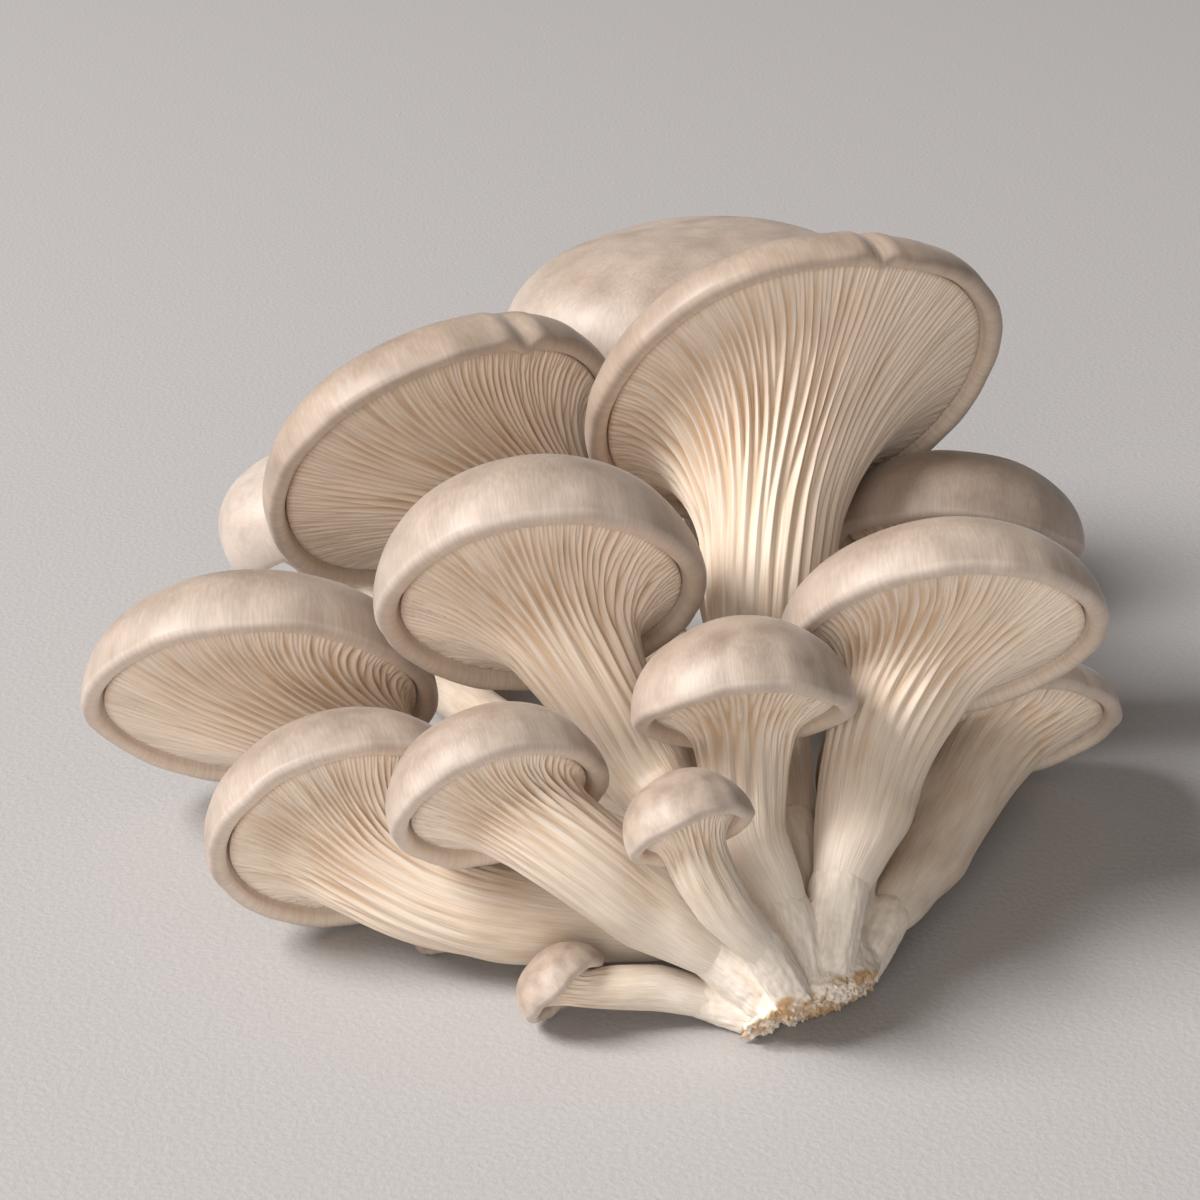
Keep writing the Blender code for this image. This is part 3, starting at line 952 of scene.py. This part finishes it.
@dataclass
class GilledStem:
    """A stem whose ridges rise into gills, which branch on their way out to the margin."""

    mushroom: Mushroom
    doublings: int = 3
    coarse_gap: float = 5.0
    row_gap: float = 1.0
    columns: int = 4
    crowding: float = 1.5
    turn_in: float = 15.0
    ridge_run: float = 26.0
    short_reach: float = 11.0
    raised: float = 0.35
    lean_in: float = 0.3
    sharpness: float = 0.85
    least_room: float = 0.3

    def _stations(self) -> tuple[Grid, Grid]:
        """The stem's line from the neck to the root.

        Returns:
            Its stations as (x, y, z, radius), and the way up at the neck.
        """
        m = self.mushroom
        line = np.array([m.neck, *m.stem], float)
        up = unit(np.array(m.rim) - line[0, :3])
        facing = unit(up + unit(line[0, :3] - line[1, :3]))
        first = line[0].copy()
        first[:3] += facing * np.linalg.norm(line[0, :3] - line[1, :3])
        first[3] = 2 * line[0, 3] - line[1, 3]
        ends = np.concatenate([[first], line, [2 * line[-1] - line[-2]]])
        found = []
        for four in zip(ends, ends[1:], ends[2:], ends[3:]):
            count = max(1, round(float(np.linalg.norm((four[2] - four[1])[:3])) / self.coarse_gap))
            found += [on_curve(four, t) for t in np.arange(count) / count]
        return np.array([*found, line[-1]]), facing

    def _stem_rows(self, angle: Grid) -> tuple[Grid, Grid]:
        """Rings from the neck down to the root.

        Args:
            angle: Angles of each ring's points.

        Returns:
            The rings, and the way that the neck's ring faces.
        """
        m = self.mushroom
        stations, facing = self._stations()
        level, slope, top = (Vector(a) for a in m.axes())
        frame_way, gone, rows = top, 0.0, []
        neck_way = Vector(facing)
        for n, station in enumerate(stations):
            if n:
                gone += float(np.linalg.norm(station[:3] - stations[n - 1][:3]))
            beyond = stations[min(n + 1, len(stations) - 1)][:3]
            tangent = Vector(unit(stations[max(n - 1, 0)][:3] - beyond))
            turned = float(ease(np.array(gone / self.turn_in)))
            way = neck_way.slerp(tangent, turned) if n else neck_way
            turn = frame_way.rotation_difference(way)
            level, slope, frame_way = turn @ level, turn @ slope, way
            lump = 1 + STEM_LUMP_SIZE * rolling(angle, m.seed() + n * STEM_LUMP_TURN, STEM_LUMPS)
            size = station[3] * lump * (STEM_END if n == len(stations) - 1 else 1.0)
            sideways = np.array(level) * np.cos(angle)[:, None]
            spokes = sideways + np.array(slope) * np.sin(angle)[:, None]
            rows.append(station[:3] + spokes * size[:, None])
        return np.array(rows), facing

    def _flare_rows(self, neck_ring: Grid, facing: Grid, angle: Grid) -> Grid:
        """Rings from just above the neck out to the margin.

        Args:
            neck_ring: The neck's ring.
            facing: The way that it faces.
            angle: Angles of each ring's points.

        Returns:
            The rings.
        """
        m = self.mushroom
        share = np.full(len(angle), m.gill_share())
        lift = np.full(len(angle), GILL_END_LIFT * m.roll)
        end = m.rim_points(angle, share, lift)
        inner = m.rim_points(angle, share * 0.9, lift)
        outwards = unit(unit(end - inner) + m.axes()[2] * RIM_CURL)
        reach = np.linalg.norm(end - neck_ring, axis=1, keepdims=True)
        first = neck_ring + facing * (FLARE_AT_NECK * reach)
        second = end - outwards * (FLARE_AT_RIM * reach)
        count = max(5, round(float(reach.mean()) / self.coarse_gap))
        rows = []
        for t in np.arange(1, count + 1) / count:
            s = 1 - t
            inner = neck_ring * s**3 + first * (3 * s * s * t)
            rows.append(inner + second * (3 * s * t * t) + end * t**3)
        return np.array(rows)

    def _gills_at(self, angle: Grid, out: float, crowd: float) -> Grid:
        """Height of the gills round one ring, from 0 in a hollow to 1 on an edge.

        Args:
            angle: Angles of the ring's points.
            out: How far along the flare the ring lies, negative down the stem.
            crowd: How many times the gills have doubled there.

        Returns:
            The heights.
        """
        m = self.mushroom
        seed = m.seed()
        sway = rolling(angle + 0.2 * out, seed, GILL_SWAY)
        sway = sway + 0.04 * np.sin(11 * angle + 7 * out + seed)
        sway = sway + 0.02 * np.sin(23 * angle - 11 * out)
        place = angle * m.gills / (2 * math.pi) + sway
        half = 0.5 * 2.0**-crowd
        height = np.zeros(len(angle))
        for step in range(self.doublings + 1):
            apart = 1.0 if step == 0 else 2.0 ** (1 - step)
            shift = 0.0 if step == 0 else 2.0**-step
            nearest = np.round((place - shift) / apart)
            away = (place - shift) - nearest * apart
            number = nearest % (m.gills / apart)
            chance = np.mod(np.sin(number * CHANCE[0] + step * CHANCE[1] + seed) * CHANCE[2], 1.0)
            strong = 0.72 + 0.28 * chance
            if step:
                strong = ease(crowd - step + 0.55 + 0.8 * chance) * (0.8 + 0.2 * chance)
            side = np.where(away > 0, 1 - self.lean_in, 1 + self.lean_in) * half
            blade = (1 - np.minimum(1.0, np.abs(away / side))) ** self.sharpness
            height = np.maximum(height, strong * blade)
        return height

    def build(self, material: Material) -> Thing:
        """Makes the gilled stem's piece.

        Args:
            material: Its finish.

        Returns:
            The piece.
        """
        m = self.mushroom
        finest = m.gills * self.columns * 2**self.doublings
        angle = round_angles(finest)
        stem_rows, facing = self._stem_rows(angle)
        flare = self._flare_rows(stem_rows[0], facing, angle)
        coarse = np.concatenate([stem_rows[::-1], flare])
        neck = len(stem_rows) - 1
        for _ in range(2):
            near = slice(neck - 1, neck + 2)
            beside = coarse[neck - 2 : neck + 1] + coarse[neck : neck + 3]
            coarse[near] = 0.5 * coarse[near] + 0.25 * beside
        rows, places = swept(coarse, self.row_gap)
        along = np.gradient(rows, axis=0)
        round_it = np.roll(rows, -1, axis=1) - np.roll(rows, 1, axis=1)
        face = unit(np.cross(round_it, along))
        reach = np.linalg.norm(flare[-1] - stem_rows[0], axis=1)
        room = np.clip(reach / self.short_reach, self.least_room, 1.0)
        gaps = np.linalg.norm(np.diff(rows, axis=0), axis=2).mean(1)
        run = np.concatenate([[0.0], np.cumsum(gaps)])
        neck_run = float(np.interp(neck, places, run))
        mesh = RingMesh(f"gills_{m.name}")
        for n, (row, place) in enumerate(zip(rows, places)):
            out = (place - neck) / (len(coarse) - 1 - neck)
            if out < 0:
                out = -(neck_run - run[n]) / self.ridge_run
            crowd = self.doublings * max(0.0, out) ** self.crowding
            picked = slice(None, None, 4 if out < BARE_UNTIL else 2 if crowd <= HALF_UNTIL else 1)
            turned = angle[picked]
            height = self._gills_at(turned, out, crowd)
            # How strongly painted shade darkens the gill hollows at this ring
            hollow_shade_depth = np.interp(out, *GILL_HOLLOW_SHADE)
            depth = m.gill_depth * np.interp(out, *GILL_SWELL)
            raise_by = depth * (self.raised - (1 - height)) * room[picked]
            below = GROWN_AT_NECK * run[n] / neck_run
            grown = GROWN_AT_NECK + (1 - GROWN_AT_NECK) * out if out >= 0 else below
            length = np.full(len(height), run[n] / m.radius())
            grain = np.stack([np.cos(turned) + m.seed(), np.sin(turned), length], 1)
            # The relief number marks where painted shade falls: low in the hollows between gills
            mesh.add(
                row[picked] + face[n][picked] * raise_by[:, None],
                relief=1 - (1 - height) * hollow_shade_depth * room[picked],
                grown=grown,
                white=whiteness(row[picked]),
                grain=grain,
            )
        last = len(mesh.rings[-1])
        for k in CLOSING_SHARES:
            share = m.gill_share() * k
            lift = float(m.seam_height(np.array(share)))
            shares, lifts = np.full(finest, share), np.full(finest, lift)
            ring = m.rim_points(angle, shares, lifts)[:: finest // last]
            grain = np.repeat(mesh.numbers["grain"][-1][:1], last, 0)
            mesh.add(ring, relief=0.5, grown=1.0, white=0.0, grain=grain)
        return mesh.build(material)


def lump(place: Grid, size: Grid, sides: int, rises: Grid, seeds: Grid, waves: tuple) -> RingMesh:
    """A rough ball.

    Args:
        place: Its middle.
        size: Its half sizes.
        sides: Corners of each ring.
        rises: Height of each ring, from -1 to 1.
        seeds: Shift of each ring's waves.
        waves: Unevenness as (waves in a turn, share).

    Returns:
        The ball's rings.
    """
    angle = round_angles(sides)
    mesh = RingMesh()
    for rise, seed in zip(rises, seeds):
        reach = math.sqrt(1 - rise * rise) * (1 + rolling(angle, seed, waves))
        ring = np.stack([np.cos(angle) * reach, np.sin(angle) * reach, np.full(sides, rise)], 1)
        mesh.add(place + ring * size)
    return mesh


@dataclass
class Foot:
    """The roots grown together: strands that run on from the stems to a torn, crumbly cut."""

    mushrooms: list[Mushroom]
    voxel: float = 0.34
    sides: int = 26
    steps: int = 22
    sleeve: float = 5.6
    strand: float = 16.0
    crumbs: int = 90
    cut_reach: float = 10.5
    core_share: float = 0.97
    core_waves: tuple = ((2, 0.03), (3, 0.03))
    crumb_waves: tuple = ((2, 0.12), (3, 0.1))
    crumb_seed: int = 11
    crumb_sizes: tuple[float, float] = (0.5, 1.15)
    crumb_depths: tuple[float, float] = (0.1, 1.0)
    cut_height: float = 0.6
    torn_depth: float = 2.6
    torn_share: float = 0.75
    torn_lumps: float = 1.5
    torn_fine: float = 1.0
    felt_fibres: float = 0.28
    felt_lumps: float = 0.22
    felt_least: float = 0.35
    felt_reach: float = 24.0
    fringe_brown: float = 0.55
    fringe_reach: float = 2.6
    grain_drift: float = 0.003

    def _strand(self, mushroom: Mushroom) -> RingMesh:
        """The strand that runs on from one stem to the cut.

        Args:
            mushroom: The mushroom whose stem it is.

        Returns:
            The strand.
        """
        angle = round_angles(self.sides)
        stations, _ = GilledStem(mushroom)._stations()
        centre, radius = stations[-1][:3], stations[-1][3]
        facing = unit(stations[-2][:3] - centre)
        tip = ROOTS_MEET + (centre - ROOTS_MEET) * ROOT_SPREAD
        waist = (centre + tip) / 2 - facing * WAIST_DROP
        across = unit(np.cross(facing, (0.3, 0.2, 1.0)))
        along = np.cross(facing, across)
        mesh = RingMesh()
        ridges = rolling(angle, mushroom.seed(), STRAND_RIDGES)
        ragged = rolling(angle, mushroom.seed() + 3.0, RAGGED_EDGE)
        bend = 2 * waist - (centre + tip) / 2
        around = np.cos(angle)[:, None] * across + np.sin(angle)[:, None] * along
        for t in np.linspace(1, -self.sleeve / self.strand, self.steps):
            if t < 0:
                middle = centre - facing * (t * self.strand)
            else:
                middle = centre * (1 - t) ** 2 + bend * (2 * t * (1 - t)) + tip * t * t
            torn_at = t + ragged * max(0.0, 1 - max(t, 0.0) * 4)
            size = radius * np.interp(torn_at, *SLEEVE_SIZE)
            mesh.add(middle + around * (size * (1 + ridges * min(1.0, max(0.0, t) * 4)))[:, None])
        return mesh

    def _torn_edge(self) -> list[RingMesh]:
        """Crumbs over the cut.

        Returns:
            The crumbs.
        """
        chance = np.random.default_rng(self.crumb_seed)
        across = unit(np.cross(CUT_FACING, (0.0, 0.0, 1.0)))
        down = np.cross(across, CUT_FACING)
        rises = np.linspace(-0.94, 0.94, 7)
        found = []
        for n in range(self.crumbs):
            turn = chance.uniform(0, 2 * math.pi)
            reach = self.cut_reach * math.sqrt(chance.uniform(0.02, 1))
            place = CUT_POINT + across * (math.cos(turn) * reach)
            place = place + down * (math.sin(turn) * reach * self.cut_height)
            size = chance.uniform(*self.crumb_sizes, 3)
            place = place - CUT_FACING * chance.uniform(*self.crumb_depths)
            found.append(lump(place, size, 12, rises, n * 0.7 + rises, self.crumb_waves))
        return found

    def _tuft(self) -> list[RingMesh]:
        """Tapered fibres that hang from the cut's lower end.

        Returns:
            The fibres.
        """
        angle = round_angles(8)
        found = []
        for end in TUFT_ENDS:
            way = unit(np.array(end) - TUFT_ROOT)
            across = unit(np.cross(way, (0.0, 0.0, 1.0)))
            along = np.cross(way, across)
            round_it = np.cos(angle)[:, None] * across + np.sin(angle)[:, None] * along
            mesh = RingMesh()
            for t in np.linspace(0, 1, 8):
                middle = TUFT_ROOT + (np.array(end) - TUFT_ROOT) * t
                middle = middle + TUFT_BOW * math.sin(math.pi * t)
                mesh.add(middle + round_it * (TUFT_THICK * (1 - t) + TUFT_TIP))
            found.append(mesh)
        return found

    def build(self, material: Material) -> Thing:
        """Makes the foot's piece.

        Args:
            material: Its finish.

        Returns:
            The piece.
        """
        rises = np.linspace(-0.97, 0.97, 19)
        core = lump(FOOT_CENTRE, FOOT_SIZE * self.core_share, 40, rises, rises * 2, self.core_waves)
        strands = [self._strand(m) for m in self.mushrooms]
        parts = [core, *strands, *self._torn_edge(), *self._tuft()]
        points, faces, start = [], [], 0
        for part in parts:
            more, sides = part.solid()
            faces += [[v + start for v in side] for side in sides]
            points.append(more)
            start += len(more)
        data = bpy.data.meshes.new("torn_foot")
        data.from_pydata(np.concatenate(points).tolist(), [], faces)
        foot = bpy.data.objects.new("torn_foot", data)
        bpy.context.scene.collection.objects.link(foot)
        fuse = foot.modifiers.new("Fuse", "REMESH")
        fuse.mode = "VOXEL"
        fuse.voxel_size = self.voxel
        bpy.context.view_layer.update()
        seen = foot.evaluated_get(bpy.context.evaluated_depsgraph_get())
        fused = bpy.data.meshes.new_from_object(seen)
        foot.modifiers.clear()
        foot.data = fused
        self._tear(fused)
        fused.materials.clear()
        fused.materials.append(material)
        fused.shade_smooth()
        return foot

    def _tear(self, data: bpy.types.Mesh) -> None:
        """Roughens the fused mesh, tears its cut and brings it to the part's frame.

        Args:
            data: The fused mesh, in table millimetres.
        """
        points, ways = read(data, "co"), read(data, "normal")
        spokes = unit(points - ROOTS_MEET)
        length = np.linalg.norm(points - ROOTS_MEET, axis=1)
        fibre = np.array([
            noise.noise(Vector(w) * FIBRE_ROUND + Vector((0, 0, d * FIBRE_ALONG)))
            for w, d in zip(spokes, length)
        ])
        grain, fine = (
            np.array([noise.noise(Vector(p) * cells) for p in points])
            for cells in (LUMP_NOISE, CRUMB_NOISE)
        )
        beyond = (points - CUT_POINT) @ CUT_FACING
        near = np.clip(1 - length / self.felt_reach, 0, 1)
        felt = self.felt_fibres * fibre + self.felt_lumps * grain
        points = points + ways * (felt * (self.felt_least + near))[:, None]
        limit = self.torn_lumps * grain + self.torn_fine * fine
        over = np.maximum(0.0, beyond - limit)
        points = points - CUT_FACING * (over * self.torn_share)[:, None]
        torn = ease((beyond + self.torn_depth) / self.torn_depth)
        sunk = np.zeros(len(points))
        for place, wide, deep in PITS:
            pit = np.exp(-((np.linalg.norm(points - np.array(place), axis=1) / wide) ** 2))
            points = points - ways * (pit * deep)[:, None]
            sunk = np.maximum(sunk, pit)
        fringe = np.linalg.norm(points - 0.5 * (TUFT_ROOT + np.array(TUFT_ENDS[0])), axis=1)
        sunk = np.maximum(sunk, self.fringe_brown * np.exp(-((fringe / self.fringe_reach) ** 2)))
        points[:, 2] = np.maximum(points[:, 2], 0.0)
        data.vertices.foreach_set("co", ((points - REST_SPOT) * MM).ravel())
        store(data, "torn", torn)
        store(data, "sunk", sunk)
        store(data, "white", whiteness(points))
        store(data, "grain", spokes + (length * self.grain_drift)[:, None])
        data.update()


@dataclass
class Studio:
    """The pale floor, the soft lights and the camera."""

    floor_size: float = 6.0
    camera_place: Triple = (-0.035, -0.4365, 0.2775)
    camera_target: Triple = (-0.035, 0.0166, 0.0662)
    lens: float = 90.0
    sensor: float = 36.0
    floor_height: float = -0.0003
    room_colour: Triple = (1.0, 0.92, 0.85)
    room_light: float = 0.15

    def build(self) -> None:
        """Makes the floor, lights and camera."""
        self._floor()
        self._light("key", (-2.35, -0.45, 2.4), 1.4, 156.0, (1.0, 0.99, 0.985))
        self._light("front", (-0.6, -3.0, 1.1), 1.8, 46.0, (1.0, 0.975, 0.955))
        world = bpy.data.worlds.new("soft room")
        world.use_nodes = True
        background = world.node_tree.nodes["Background"]
        background.inputs["Color"].default_value = (*self.room_colour, 1.0)
        background.inputs["Strength"].default_value = self.room_light
        bpy.context.scene.world = world
        bpy.context.scene.view_settings.view_transform = "Standard"
        self._camera()

    def _floor(self) -> None:
        """The floor that the cluster lies on."""
        half = self.floor_size / 2
        data = bpy.data.meshes.new("floor")
        corners = [(-half, -half, 0), (half, -half, 0), (half, half, 0), (-half, half, 0)]
        data.from_pydata(corners, [], [(0, 1, 2, 3)])
        data.materials.append(TableTop().dress())
        floor = bpy.data.objects.new("floor", data)
        floor.location.z = self.floor_height
        bpy.context.scene.collection.objects.link(floor)
        floor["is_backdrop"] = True

    def _light(self, name: str, place: Triple, size: float, power: float, colour: Triple) -> None:
        """A square soft light that faces the cluster.

        Args:
            name: Its name.
            place: Where it stands.
            size: Its width.
            power: Its power, in watts.
            colour: Its colour.
        """
        data = bpy.data.lights.new(name, "AREA")
        data.shape = "SQUARE"
        data.size = size
        data.energy = power
        data.color = colour
        self._aim(bpy.data.objects.new(name, data), place)

    def _camera(self) -> None:
        """The camera at the photograph's angle."""
        data = bpy.data.cameras.new("camera")
        data.lens = self.lens
        data.sensor_width = self.sensor
        camera = bpy.data.objects.new("camera", data)
        self._aim(camera, self.camera_place)
        bpy.context.scene.camera = camera

    def _aim(self, thing: Thing, place: Triple) -> None:
        """Puts a light or the camera in its place and turns it to the cluster.

        Args:
            thing: The light or the camera.
            place: Where it stands.
        """
        thing.location = place
        way = Vector(self.camera_target) - Vector(place)
        thing.rotation_euler = way.to_track_quat("-Z", "Y").to_euler()
        bpy.context.scene.collection.objects.link(thing)


def corners(box: tuple[Vector, Vector]) -> list[list[float]]:
    """A box's two corners as plain lists."""
    return [list(corner) for corner in box]


def main() -> None:
    """Builds the pieces in order and reports each."""
    logging.basicConfig(level=logging.INFO, format="%(name)s: %(message)s")
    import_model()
    solid_box = corners(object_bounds())
    Studio().build()
    skin, flesh, rough = CapSkin().dress(), GilledFlesh().dress(), FootFlesh().dress()
    for mushroom in CLUSTER:
        place_piece(Cap(mushroom).build(skin), f"cap_{mushroom.name}")
        doublings = 3 if mushroom.radius() > SMALL_RADIUS else 2
        stem = GilledStem(mushroom, doublings).build(flesh)
        place_piece(stem, f"stem_{mushroom.name}")
    place_piece(Foot(CLUSTER).build(rough), "foot")
    {"solids": solid_box, "pieces": corners(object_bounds())}


if __name__ == "__main__":
    main()
